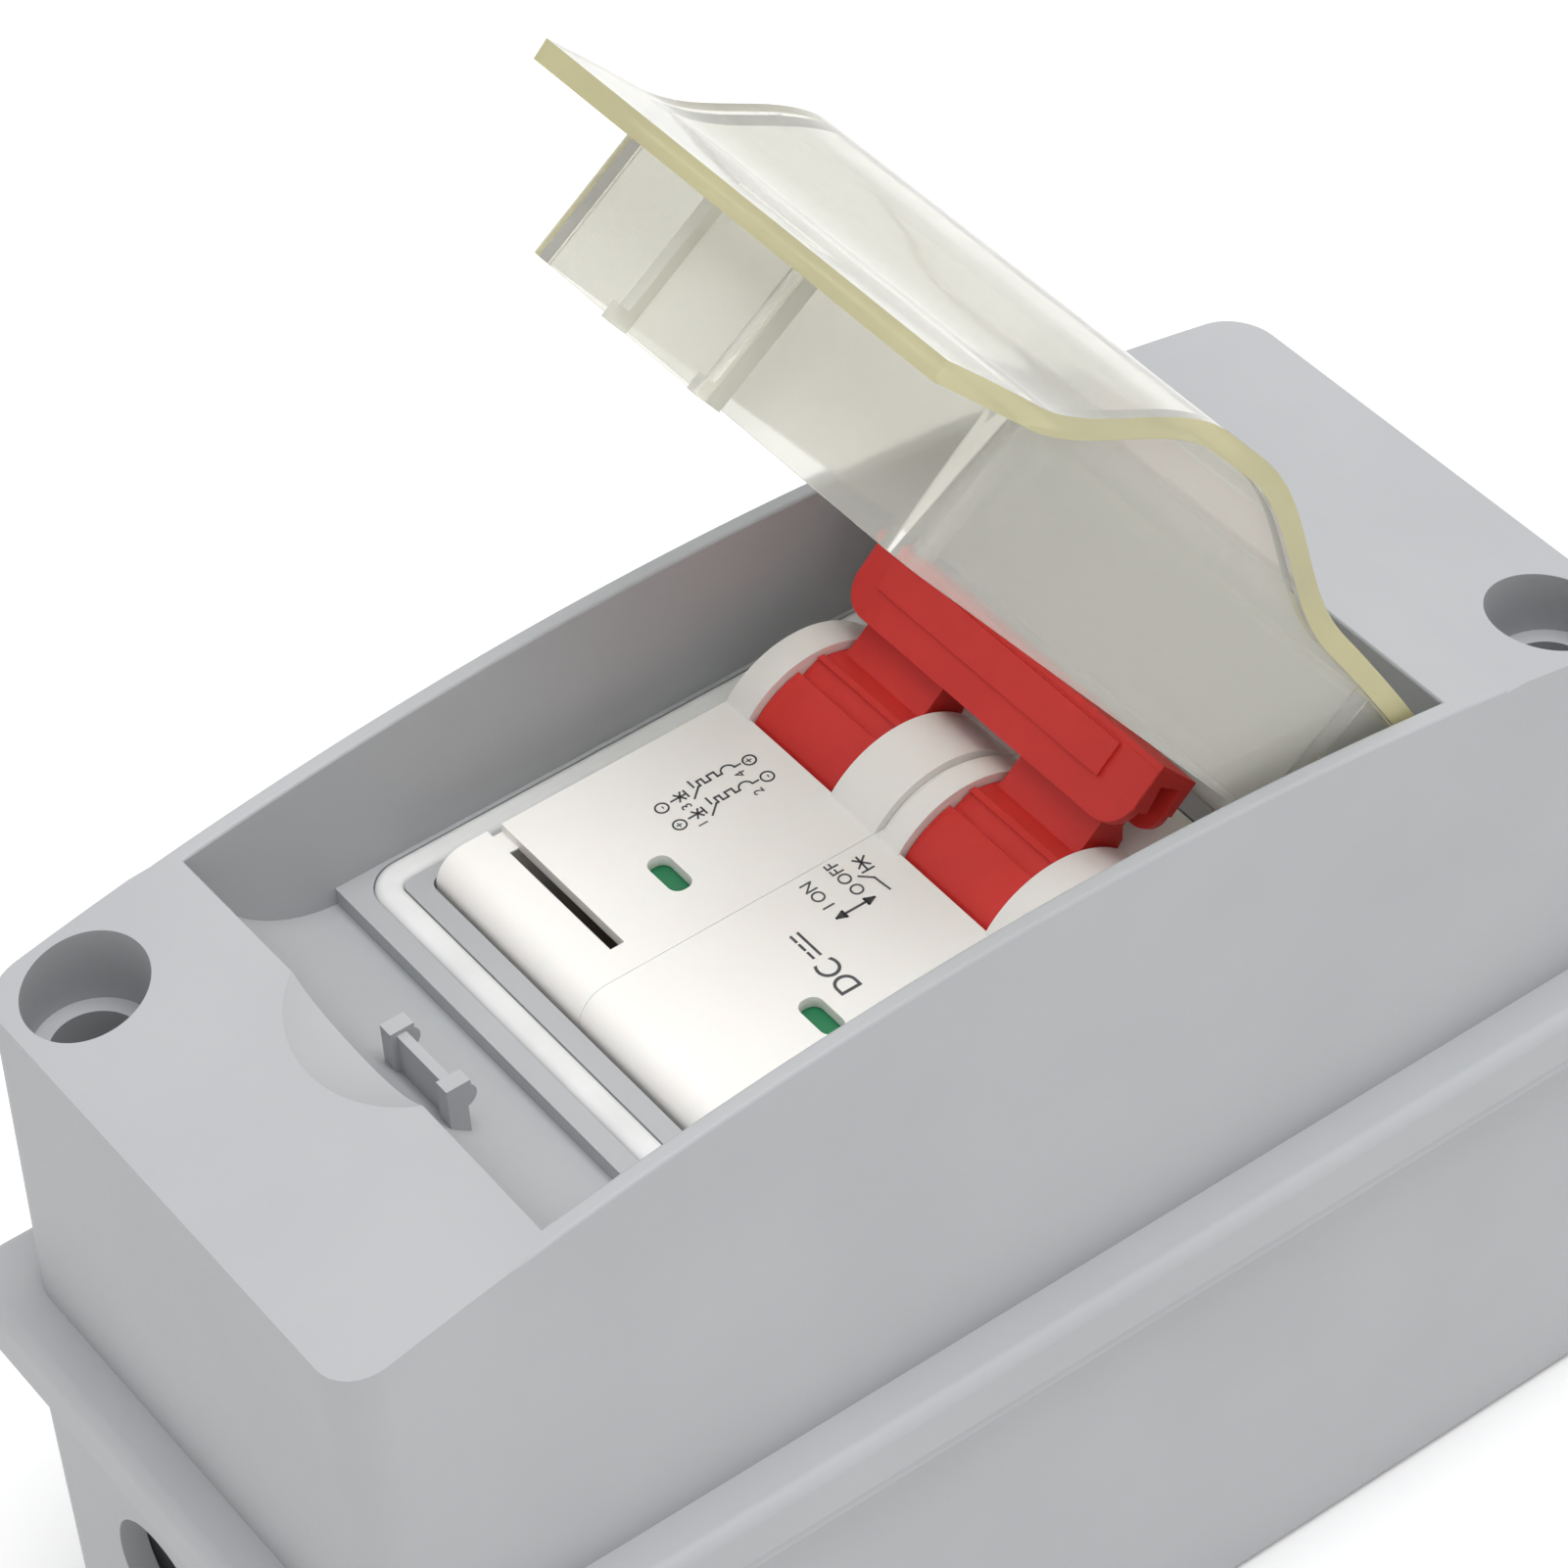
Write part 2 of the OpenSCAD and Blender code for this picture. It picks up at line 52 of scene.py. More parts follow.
def block(name, x, y, z):
    only(None)
    bpy.ops.mesh.primitive_cube_add(size=1, location=[(a + b) / 2 for a, b in (x, y, z)])
    piece = bpy.context.object
    piece.name = piece.data.name = name
    piece.scale = [b - a for a, b in (x, y, z)]
    bpy.ops.object.transform_apply(location=True, rotation=True, scale=True)
    return piece


def rod(name, axis, r, centre, span, sides=64):
    """A cylinder along an axis; centre is the two other coordinates, in X, Y, Z order."""
    only(None)
    at = list(centre)
    at.insert("XYZ".index(axis), (span[0] + span[1]) / 2)
    turn = {"X": (0, math.pi / 2, 0), "Y": (math.pi / 2, 0, 0), "Z": (0, 0, 0)}[axis]
    bpy.ops.mesh.primitive_cylinder_add(vertices=sides, radius=r, depth=span[1] - span[0],
                                        location=at, rotation=turn)
    piece = bpy.context.object
    piece.name = piece.data.name = name
    bpy.ops.object.transform_apply(location=True, rotation=True, scale=True)
    return piece


def pick(piece, kind, test):
    """Selects the piece's vertices or edges that pass the test, and stays in edit mode."""
    only(piece)
    bpy.context.tool_settings.mesh_select_mode = (kind == "VERT", kind == "EDGE", False)
    bpy.ops.object.mode_set(mode="EDIT")
    bpy.ops.mesh.select_all(action="DESELECT")
    bpy.ops.object.mode_set(mode="OBJECT")
    points = piece.data.vertices
    if kind == "VERT":
        for point in points:
            point.select = test(point.co)
    else:
        for edge in piece.data.edges:
            edge.select = test(points[edge.vertices[0]].co, points[edge.vertices[1]].co)
    bpy.ops.object.mode_set(mode="EDIT")


def near(a, b, tol=0.02):
    return abs(a - b) < tol


def upright(a, b):
    return near(a.x, b.x) and near(a.y, b.y)


def round_edges(piece, test, width, segments=4):
    pick(piece, "EDGE", test)
    bpy.ops.mesh.bevel(offset=width, offset_type="OFFSET", segments=segments, profile=0.5,
                       affect="EDGES", clamp_overlap=False)
    bpy.ops.object.mode_set(mode="OBJECT")


def apply_modifier(piece, kind, **settings):
    only(piece)
    step = piece.modifiers.new("step", kind)
    for setting, value in settings.items():
        setattr(step, setting, value)
    bpy.ops.object.modifier_apply(modifier=step.name)


def combine(piece, how, *tools):
    for tool in tools:
        apply_modifier(piece, "BOOLEAN", operation=how, object=tool, solver="EXACT")
        bpy.data.meshes.remove(tool.data)


def cut(piece, *tools):
    combine(piece, "DIFFERENCE", *tools)


def add(piece, *tools):
    combine(piece, "UNION", *tools)


def clean(piece):
    """Merges doubles and takes out the edges that lie inside flat faces."""
    only(piece)
    bpy.ops.object.mode_set(mode="EDIT")
    bpy.ops.mesh.select_all(action="SELECT")
    bpy.ops.mesh.remove_doubles(threshold=0.004)
    bpy.ops.mesh.dissolve_limited(angle_limit=math.radians(0.4), delimit={"NORMAL"})
    bpy.ops.object.mode_set(mode="OBJECT")


def soften(piece, width, segments=2, angle=32):
    """Rounds every edge where the faces meet at more than the angle."""
    apply_modifier(piece, "BEVEL", width=width, segments=segments, limit_method="ANGLE",
                   angle_limit=math.radians(angle), use_clamp_overlap=True,
                   miter_outer="MITER_ARC")


def finish(piece, material, smooth=34):
    """Brings a piece to metres, shades it and gives it its material."""
    piece.data.transform(Matrix.Scale(0.001, 4))
    only(piece)
    bpy.ops.object.shade_smooth_by_angle(angle=math.radians(smooth))
    apply_modifier(piece, "WEIGHTED_NORMAL", keep_sharp=True, weight=60)
    if material and not piece.data.materials:
        piece.data.materials.append(material)
    return piece


def tree(name):
    """A new material, its nodes and links, and its shader."""
    material = bpy.data.materials.new(name)
    material.use_nodes = True
    nodes = material.node_tree.nodes
    return material, nodes, material.node_tree.links, nodes["Principled BSDF"]


def moulded(name, colour, deep, rough, grain=0.12, grain_size=1400, mottle=60, spec=0.45, **more):
    """Moulded plastic: two close tints in soft clouds, a fine matt skin and faint flow marks."""
    material, nodes, links, shader = tree(name)
    at = nodes.new("ShaderNodeTexCoord")
    cloud = nodes.new("ShaderNodeTexNoise")
    cloud.inputs["Scale"].default_value = mottle
    cloud.inputs["Detail"].default_value = 4
    tint = nodes.new("ShaderNodeMixRGB")
    tint.inputs[1].default_value = (*deep, 1)
    tint.inputs[2].default_value = (*colour, 1)
    links.new(at.outputs["Object"], cloud.inputs["Vector"])
    spread = nodes.new("ShaderNodeMapRange")
    spread.inputs["From Min"].default_value = 0.3
    spread.inputs["From Max"].default_value = 0.7
    links.new(cloud.outputs["Fac"], spread.inputs["Value"])
    links.new(spread.outputs["Result"], tint.inputs[0])
    links.new(tint.outputs[0], shader.inputs["Base Color"])
    skin = nodes.new("ShaderNodeTexNoise")
    skin.inputs["Scale"].default_value = grain_size
    skin.inputs["Detail"].default_value = 3
    links.new(at.outputs["Object"], skin.inputs["Vector"])
    bump = nodes.new("ShaderNodeBump")
    bump.inputs["Strength"].default_value = grain
    bump.inputs["Distance"].default_value = 0.0001
    links.new(skin.outputs["Fac"], bump.inputs["Height"])
    links.new(bump.outputs["Normal"], shader.inputs["Normal"])
    gloss = nodes.new("ShaderNodeMapRange")
    gloss.inputs["To Min"].default_value = rough - 0.06
    gloss.inputs["To Max"].default_value = rough + 0.06
    links.new(skin.outputs["Fac"], gloss.inputs["Value"])
    links.new(gloss.outputs["Result"], shader.inputs["Roughness"])
    shader.inputs["Specular IOR Level"].default_value = spec
    for socket, value in more.items():
        shader.inputs[socket.replace("_", " ")].default_value = value
    return material


grey_abs = moulded("grey_abs", (0.418, 0.427, 0.441), (0.396, 0.405, 0.419), 0.55)

wall = 2.2
lip_low, lip_top = 38.5, 40
rail_screw_x, wall_screw_x = 8, 50
screws = [(-50.7, 17.8), (50.7, -17.8)]     # far corner at the left, near corner at the right
entry_y, entry_z, entry_r = 7.8, 22.8, 6.75

base = block("base_moulding", (-58.1, 58.1), (-25, 25), (0, 41.6))
round_edges(base, upright, 3, 6)
round_edges(base, lambda a, b: near(a.z, 0) and near(b.z, 0), 0.9, 3)
lip = block("lip", (-60.6, 60.6), (-27.45, 27.45), (lip_low, lip_top))
round_edges(lip, upright, 3.8, 8)
round_edges(lip, lambda a, b: near(a.z, lip_low) and near(b.z, lip_low), 0.35, 2)
add(base, lip)
tub = block("tub", (-55.9, 55.9), (-22.8, 22.8), (2.5, 50))
round_edges(tub, upright, 1.5, 4)
for x, y in screws:
    cut(tub, rod("pillar", "Z", 4.6, (x, y), (-5, 60), 40))
for s in (-1, 1):
    cut(tub, block("pad", (s * rail_screw_x - 4, s * rail_screw_x + 4), (-9, 9), (0, 3)))
cut(base, tub)
for x, y in screws:
    cut(base, rod("hole", "Z", 2.62, (x, y), (27.6, 50), 32))
for s in (-1, 1):
    cut(base, rod("hole", "Z", 1.42, (s * rail_screw_x, 0), (0.6, 5), 24),
        rod("hole", "Z", 2.25, (s * wall_screw_x, 0), (-1, 5), 32))
    for y in (-entry_y, entry_y):
        ends = sorted((s * 54.9, s * 59.1))
        cut(base, rod("entry", "X", entry_r, (y, entry_z), ends, 64))
clean(base)
soften(base, 0.3)
finish(base, grey_abs)
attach(base, "box")
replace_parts(base, "base_shell")


# ---- Cover moulding ------------------------------------------------------------------------
# The same grey ABS, held to the base by two deep-set screws. Its top is one long arch, with a
# recess that has a quarter-round cove at each end, a finger notch, a raised frame round the
# window and a small catch for the lid's latch.
arch_r, crown = 241, 80.1
latch_end, hinge_end, recess_y, recess_floor = -39.8, 36.9, 21.95, 65.1
rim_top, frame_top, seat_z = 44.4, 66.7, 64.5
hinge_x, hinge_z = 29.6, 73.3


def arch(x):
    return crown - x * x / (2 * arch_r)


def drafted(name, half_x, half_y, z0, z1, r, slope=0.018):
    """A block with rounded corners that gets a little smaller towards its top."""
    piece = block(name, (-half_x, half_x), (-half_y, half_y), (z0, z1))
    round_edges(piece, upright, r, 8)
    pick(piece, "VERT", lambda v: near(v.z, z1))
    inward = slope * (z1 - z0)
    bpy.ops.transform.resize(value=(1 - inward / half_x, 1 - inward / half_y, 1),
                             center_override=(0, 0, z1))
    bpy.ops.object.mode_set(mode="OBJECT")
    return piece


def recess(name, grow):
    """The recess with its two coves, or the same grown on all sides for the hollow under it."""
    low = recess_floor - grow
    piece = block(name, (latch_end - grow, hinge_end + grow),
                  (-40, 40) if grow else (-recess_y, recess_y), (low, 95))
    for x, r in ((latch_end - grow, 12.4), (hinge_end + grow, 11.7)):
        round_edges(piece, lambda a, b: near(a.z, low) and near(b.z, low)
                    and near(a.x, x) and near(b.x, x), r + grow, 36)
    return piece


cover = drafted("cover_moulding", 57.1, 23.95, 43.4, 82, 3.5)
combine(cover, "INTERSECT", rod("arch", "Y", arch_r, (0, crown - arch_r), (-40, 40), 900))
cut(cover, recess("recess", 0))
add(cover, block("window_frame", (-28.45, 28.45), (-22.3, 22.3), (63, frame_top)))
rim = block("rim", (-60.9, 60.9), (-27.75, 27.75), (lip_top, rim_top))
round_edges(rim, upright, 4, 10)
round_edges(rim, lambda a, b: near(a.z, rim_top) and near(b.z, rim_top), 1.1, 4)
add(cover, rim)
hollow = drafted("hollow", 54.9, 21.75, 37, 78, 1.5)
combine(hollow, "INTERSECT", rod("arch", "Y", arch_r - wall, (0, crown - arch_r), (-40, 40), 900))
cut(hollow, recess("recess", wall), block("bridge", (-30.65, 30.65), (-40, 40), (62.1, 90)))
for x, y in screws:
    cut(hollow, rod("tube", "Z", 6, (x, y), (30, 90), 48))
cut(cover, hollow)
socket = block("socket", (-58.35, 58.35), (-25.25, 25.25), (39, 42.4))
round_edges(socket, upright, 3.2, 6)
cut(cover, socket)
opening = block("opening", (-22.9, 22.9), (-18.3, 18.3), (60, 70))
round_edges(opening, upright, 1, 4)
cut(cover, opening)
groove = block("groove", (-26.81, 26.81), (-21.61, 21.61), (seat_z, 70))
round_edges(groove, upright, 3, 8)
land = block("land", (-24.59, 24.59), (-19.39, 19.39), (60, 75))
round_edges(land, upright, 0.8, 4)
cut(groove, land)
cut(cover, groove)
add(cover, block("catch_bar", (-35.3, -34.5), (-4, 4), (65, 71.6)))
for y0 in (-4.1, 2.8):
    post = block("post", (-35.8, -34.25), (y0, y0 + 1.3), (65, 72))
    add(post, block("head", (-34.6, -33.85), (y0, y0 + 1.3), (70.9, 72)),
        rod("hook", "Y", 1.05, (-34.5, 70.7), (y0, y0 + 1.3), 40))
    add(cover, post)
only(None)
bpy.ops.mesh.primitive_uv_sphere_add(segments=128, ring_count=64, radius=15,
                                     location=(-36, 0, 88.86))
finger_notch = bpy.context.object
cut(cover, finger_notch)
for x, y in screws:
    cut(cover, rod("counterbore", "Z", 4.7, (x, y), (68.7, 90), 64),
        rod("well", "Z", 3.4, (x, y), (47.4, 90), 48), rod("hole", "Z", 2.2, (x, y), (35, 90), 32))
cut(cover, rod("hinge_socket", "Y", 1.56, (hinge_x, hinge_z), (-22.85, 22.85), 32))
clean(cover)


def outline(a, b):
    """Whether an edge bounds the arched top at the outside, the recess or a counterbore."""
    if not (near(a.z, arch(a.x), 0.03) and near(b.z, arch(b.x), 0.03)):
        return False
    if abs(a.y) < 9 and abs(b.y) < 9:
        return False                        # the finger notch keeps its crisp edge
    across = near(a.x, b.x)
    return not across or near(a.x, latch_end, 0.1) or near(a.x, hinge_end, 0.1) or abs(a.x) > 56


round_edges(cover, outline, 0.3, 3)
finish(cover, grey_abs)
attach(cover, "box")
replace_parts(cover, "cover_shell")

# ---- Window seal ---------------------------------------------------------------------------
# A soft white silicone cord pressed into the groove of the window frame. The lid's skirt comes
# down on its rounded top. The skin is faintly ribbed and a little dusty.
seal_white = moulded("seal_white", (0.76, 0.765, 0.76), (0.67, 0.675, 0.67), 0.68, grain=0.14,
                     grain_size=900, mottle=140, spec=0.2)
seal = block("window_seal_cord", (-26.8, 26.8), (-21.6, 21.6), (seat_z, 67))
round_edges(seal, upright, 3, 8)
land = block("land", (-24.6, 24.6), (-19.4, 19.4), (60, 75))
round_edges(land, upright, 0.8, 4)
cut(seal, land)
clean(seal)
soften(seal, 0.75, 4, 60)
finish(seal, seal_white, 50)
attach(seal, "box")
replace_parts(seal, "window_seal")


# ---- Clear lid -----------------------------------------------------------------------------
# One clear moulding of polycarbonate that has gone a little yellow along its cut edges. A wavy
# plate bulges over the toggles, a skirt under it stands on the seal, a latch tongue hangs from
# the free end, and two ears carry the trunnions it swings on.
lid_open = 54.8


def ease(t):
    return 0.5 - 0.5 * math.cos(math.pi * min(1, max(0, t)))


def lid_top(x):
    rise = ease((x + 26) / 17.5) if x < -6 else ease((16.5 - x) / 20)
    return arch(x) + 1.35 + 5.1 * rise


def wavy_sheet(name, drop, half_y):
    """The lid's plate as a sheet, drop below its outer face."""
    only(None)
    bpy.ops.mesh.primitive_grid_add(x_subdivisions=96, y_subdivisions=1, size=2)
    piece = bpy.context.object
    piece.name = piece.data.name = name
    for v in piece.data.vertices:
        v.co = (-1.9 + 34.1 * v.co.x, half_y * v.co.y, 0)
        v.co.z = lid_top(v.co.x) - drop
    return piece


def clear_plastic(name, tint, haze, rough, milk):
    """Clear moulding: sharp outer gloss over a slightly milky body, with soft flow marks."""
    material, nodes, links, shader = tree(name)
    at = nodes.new("ShaderNodeTexCoord")
    flow = nodes.new("ShaderNodeTexNoise")
    flow.inputs["Scale"].default_value = 45
    flow.inputs["Detail"].default_value = 3
    links.new(at.outputs["Object"], flow.inputs["Vector"])
    bump = nodes.new("ShaderNodeBump")
    bump.inputs["Strength"].default_value = 0.25
    bump.inputs["Distance"].default_value = 0.0004
    links.new(flow.outputs["Fac"], bump.inputs["Height"])
    links.new(bump.outputs["Normal"], shader.inputs["Normal"])
    mix = nodes.new("ShaderNodeMixRGB")
    mix.inputs[1].default_value = (*tint, 1)
    mix.inputs[2].default_value = (*haze, 1)
    links.new(flow.outputs["Fac"], mix.inputs[0])
    links.new(mix.outputs[0], shader.inputs["Base Color"])
    shader.inputs["Roughness"].default_value = rough
    shader.inputs["IOR"].default_value = 1.3
    shader.inputs["Transmission Weight"].default_value = 1 - milk
    return material


lid_clear = clear_plastic("lid_clear", (0.91, 0.905, 0.855), (0.86, 0.855, 0.80), 0.07, 0.24)
lid_edge = clear_plastic("lid_edge", (0.86, 0.80, 0.46), (0.48, 0.455, 0.27), 0.2, 0.55)
lid_rib = clear_plastic("lid_rib", (0.90, 0.89, 0.80), (0.84, 0.83, 0.72), 0.2, 0.5)

lid = wavy_sheet("clear_lid", 0, 21.5)
apply_modifier(lid, "SOLIDIFY", thickness=1.6, offset=-1, use_even_offset=True)
skirt = block("skirt", (-26.2, 26.2), (-21, 21), (67.1, 92))
round_edges(skirt, upright, 2.5, 6)
inner = block("inner", (-24.6, 24.6), (-19.4, 19.4), (60, 95))
round_edges(inner, upright, 0.9, 4)
cut(skirt, inner)
ears = []
for y in (-21, 19.4):
    ear = block("ear", (23.2, 32), (y, y + 1.6), (73.3, 92))
    add(ear, rod("eye", "Y", 3, (hinge_x, hinge_z), (y, y + 1.6), 40))
    ears.append(ear)
tongue = block("tongue", (-31.4, -30.4), (-5.2, 5.2), (67.1, 92))
for y in (-5.2, 4.2):
    add(tongue, block("rib", (-32.5, -30.4), (y, y + 1), (67.1, 92)),
        block("hook", (-33.25, -30.4), (y, y + 1), (67.1, 68.4)))
add(skirt, tongue, *ears)
under = wavy_sheet("under", 0.8, 21.6)
only(under)
bpy.ops.object.mode_set(mode="EDIT")
bpy.ops.mesh.select_all(action="SELECT")
bpy.ops.mesh.extrude_region_move(TRANSFORM_OT_translate={"value": (0, 0, -30)})
bpy.ops.mesh.select_all(action="SELECT")
bpy.ops.mesh.normals_make_consistent(inside=False)
bpy.ops.object.mode_set(mode="OBJECT")
combine(skirt, "INTERSECT", under)
add(lid, skirt)
for a, b in ((-22.75, -20), (20, 22.75)):
    add(lid, rod("trunnion", "Y", 1.5, (hinge_x, hinge_z), (a, b), 32))
clean(lid)
soften(lid, 0.18, 2, 40)
for skin in (lid_clear, lid_edge, lid_rib):
    lid.data.materials.append(skin)
for face in lid.data.polygons:
    x, y, z = face.center
    plate_edge = (abs(y) > 21.3 and z > 75.5) or x < -35.8 or x > 32
    far_corner = x < -24.6 and y > 19.4
    tongue_rib = x < -30.2 and abs(y) > 5.05 and z < lid_top(x) - 1.7
    if plate_edge or far_corner:
        face.material_index = 1
    elif tongue_rib:
        face.material_index = 2
pick(lid, "VERT", lambda v: True)
bpy.ops.transform.rotate(value=math.radians(-lid_open), orient_axis="Y",
                         center_override=(hinge_x, 0, hinge_z))
bpy.ops.object.mode_set(mode="OBJECT")
finish(lid, lid_clear, 40)
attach(lid, "lid")
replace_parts(lid, "window_lid")


# ---- Breaker cases -------------------------------------------------------------------------
# Two poles, each of two halves of cream polyamide riveted together on a seam. Each case shows a
# nose with a rounded front edge, two round cheeks beside the toggle and a window for its flag.
# The outer faces are satin and clean, and the seams between the halves are fine grooves.
cream = moulded("cream_polyamide", (0.94, 0.915, 0.885), (0.91, 0.88, 0.845), 0.42, grain=0.06,
                grain_size=1000, mottle=50, spec=0.4,
                Subsurface_Weight=0.1, Subsurface_Scale=0.001)
pole, toggle_x, toggle_z, nose_top = 18, 9.6, 63.7, 68.8
drum_from, drum_to = 5.2, 15.2              # across a pole, from its near side
shaft_x, shaft_z = 1, 46
rivets = [(-21, 14.2), (21, 14.2), (-23.6, 47), (23.6, 47), (-19, 61.5)]


def half_case(name, y0, y1, hollow, slot):
    """One half of a pole's case, between y0 and y1; hollow is the span of its inside."""
    piece = block(name, (-41, 41), (y0, y1), (9, 54))
    nose = block("nose", (-22.5, 22.5), (y0, y1), (52, nose_top))
    round_edges(nose, lambda a, b: near(a.z, nose_top) and near(b.z, nose_top)
                and near(a.x, b.x), 2.5, 10)
    add(piece, nose, rod("cheek", "Y", 8.1, (toggle_x, toggle_z), (y0, y1), 96),
        block("heel", (18.3, 28.3), (y0, y1), (6.6, 16)),
        block("claw", (16.3, 20.3), (y0, y1), (6.6, 8.8)))
    cut(piece, block("rail_seat", (-18.6, 17.8), (y0 - 1, y1 + 1), (8.8, 10)),
        block("rail_way", (-18.6, 16.2), (y0 - 1, y1 + 1), (0, 9.5)))
    inside = block("inside", (-39.2, 39.2), hollow, (12, 50.5))
    add(inside, block("inside_nose", (-20.7, 20.7), hollow, (40, 65.2)),
        block("inside_top", (-19.5, 19.5), hollow, (60, 67.8)))
    for x, z in rivets:
        cut(inside, rod("boss", "Y", 2.4, (x, z), (y0 - 5, y1 + 5), 32))
    cut(piece, inside)
    base_y = pole * math.floor(y0 / pole)
    drum = rod("drum_room", "Y", 7.95, (toggle_x, toggle_z), (base_y + drum_from, base_y + drum_to), 96)
    combine(drum, "INTERSECT", block("low", (0, 20), (base_y, base_y + 20), (50, 69.3)))
    cut(piece, drum, block("above", (0.6, 18.6), (base_y + drum_from, base_y + drum_to),
                           (nose_top, 90)))
    window = block("flag_window", (-11.15, -9.25), (base_y + 4.1, base_y + 8.1), (60, 75))
    round_edges(window, upright, 0.85, 6)
    cut(piece, window)
    for s in (-1, 1):
        cut(piece, rod("screw_way", "Z", 4.2, (s * 32.5, base_y + 9), (48, 60), 40),
            rod("wire_way", "X", 4.5, (base_y + 9, 33), sorted((s * 35, s * 45)), 40))
    for x, z in rivets:
        cut(piece, rod("rivet_hole", "Y", 1.32, (x, z), (y0 - 1, y1 + 1), 24))
    cut(piece, rod("pin_hole", "Y", 1.52, (toggle_x, toggle_z), (base_y + 1.6, base_y + 17.4), 24),
        rod("shaft_hole", "Y", 2.22, (shaft_x, shaft_z), (base_y + 0.9, base_y + 17.1), 24))
    if slot:
        cut(piece, block("slot", (-17.8, -16.6), (2.6, 20), (68, 75)),
            block("slot_through", (-17.8, -16.6), (2.6, 15.8), (65, 75)))
    if near(y1, -0.02):                     # the half beside the far pole stands back round its cheek
        gap = rod("gap", "Y", 12, (toggle_x, toggle_z), (-0.75, 1), 96)
        cut(gap, rod("core", "Y", 7.45, (toggle_x, toggle_z), (-2, 2), 96),
            block("below", (-10, 30), (-2, 2), (40, nose_top + 0.02)))
        cut(piece, gap)
    clean(piece)
    soften(piece, 0.2, 2)
    finish(piece, cream)
    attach(piece, "box")
    return piece


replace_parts(half_case("far_case_half", 5.2, 17.9, (4.2, 16.1), True), "far_pole_case")
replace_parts(half_case("far_cover_half", 0.02, 5.2, (1.9, 6.2), True), "far_pole_cover")
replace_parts(half_case("near_case_half", -12.8, -0.02, (-13.8, -1.9), False), "near_pole_case")
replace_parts(half_case("near_cover_half", -17.9, -12.8, (-16.1, -11.8), False), "near_pole_cover")


# ---- Nose print ----------------------------------------------------------------------------
# Dark grey pad printing on the noses, a few hundredths of a millimetre thick: the two-pole circuit
# sign with its terminal numbers, and beside the near toggle the switch sign, ON, OFF and an arrow.
ink = moulded("print_ink", (0.10, 0.10, 0.105), (0.055, 0.055, 0.06), 0.6, mottle=900)


def line(points, width=0.15):
    """A printed line through the points, as flat strips on the nose."""
    strips = []
    for (x0, y0), (x1, y1) in zip(points, points[1:]):
        long = math.hypot(x1 - x0, y1 - y0)
        strip = block("strip", (-width / 2, long + width / 2), (-width / 2, width / 2),
                      (nose_top - 0.02, nose_top + 0.03))
        strip.data.transform(Matrix.Translation((x0, y0, 0)) @ Matrix.Rotation(
            math.atan2(y1 - y0, x1 - x0), 4, "Z"))
        strips.append(strip)
    return strips


def ring_line(x, y, r, first=0, last=360, steps=18):
    turn = [math.radians(first + (last - first) * i / steps) for i in range(steps + 1)]
    return line([(x + r * math.cos(a), y + r * math.sin(a)) for a in turn], 0.12)


def word(text, x, y, size):
    """Printed letters that read along the box's width, centred on x and y."""
    only(None)
    bpy.ops.object.text_add()
    piece = bpy.context.object
    piece.data.body = text
    piece.data.size = size
    piece.data.extrude = 0.025
    piece.data.align_x = piece.data.align_y = "CENTER"
    bpy.ops.object.convert(target="MESH")
    piece.data.transform(Matrix.Translation((x, y, nose_top + 0.005))
                         @ Matrix.Rotation(math.pi / 2, 4, "Z"))
    return [piece]


def printed(name, marks):
    only(marks[0])
    for piece in marks:
        piece.select_set(True)
    bpy.ops.object.join()
    piece = bpy.context.object
    piece.name = piece.data.name = name
    finish(piece, ink)
    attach(piece, "box")


marks = []
for y, right_sign, left_sign in ((11.9, "+", "-"), (9.7, "-", "+")):
    marks += ring_line(0.95, y - 0.1, 0.5) + ring_line(-6.8, y - 0.1, 0.5)
    marks += word(right_sign, 0.95, y - 0.1, 1.0) + word(left_sign, -6.8, y - 0.1, 1.0)
    marks += line([(0.2, y), (-0.3, y)]) + ring_line(-0.85, y, 0.55, 0, 180, 10)
    marks += line([(-1.4, y), (-1.8, y), (-1.8, y + 0.55), (-2.4, y + 0.55), (-2.4, y),
                   (-2.9, y), (-2.9, y + 0.55), (-3.3, y + 0.55), (-3.3, y), (-3.5, y)])
    marks += line([(-3.5, y), (-4.4, y - 0.8)]) + line([(-3.8, y + 0.9), (-3.8, y + 0.2)])
    marks += line([(-4.6, y), (-5.9, y)]) + line([(-4.6, y - 0.35), (-4.6, y + 0.35)])
    marks += line([(-5.4, y - 0.4), (-4.9, y + 0.4)]) + line([(-4.9, y - 0.4), (-5.4, y + 0.4)])
for text, x, y in (("4", -0.35, 11.05), ("2", -0.4, 8.75), ("3", -5.3, 10.8), ("1", -5.4, 8.6)):
    marks += word(text, x, y, 1.15)
printed("far_nose_print", marks)
marks = line([(0.85, -5.1), (0.7, -3.5), (-0.1, -2.7)]) + line([(0.8, -2.6), (0.9, -1.1)])
marks += line([(0.35, -2.6), (1.3, -2.6)]) + line([(0.4, -2.1), (1.4, -1.3)])
marks += line([(0.5, -1.2), (1.3, -2.2)])
marks += word("OFF", -0.95, -1.6, 1.45) + word("O", -0.9, -3.65, 1.45)
marks += word("ON", -3.45, -1.95, 1.45) + word("I", -3.45, -3.75, 1.45)
marks += line([(-0.9, -5.05), (-3.4, -5.05)], 0.2)
for tip, root in ((-0.5, -1.15), (-3.75, -3.1)):
    marks += line([(root, -4.75), (tip, -5.05), (root, -5.35), (root, -4.75)], 0.2)
marks += line([(-6.75, -4.5), (-6.75, -7.1)], 0.2)
for y in (-4.5, -5.5, -6.5):
    marks += line([(-7.35, y), (-7.35, y - 0.6)], 0.2)
marks += word("DC", -7.0, -9.6, 2.6)
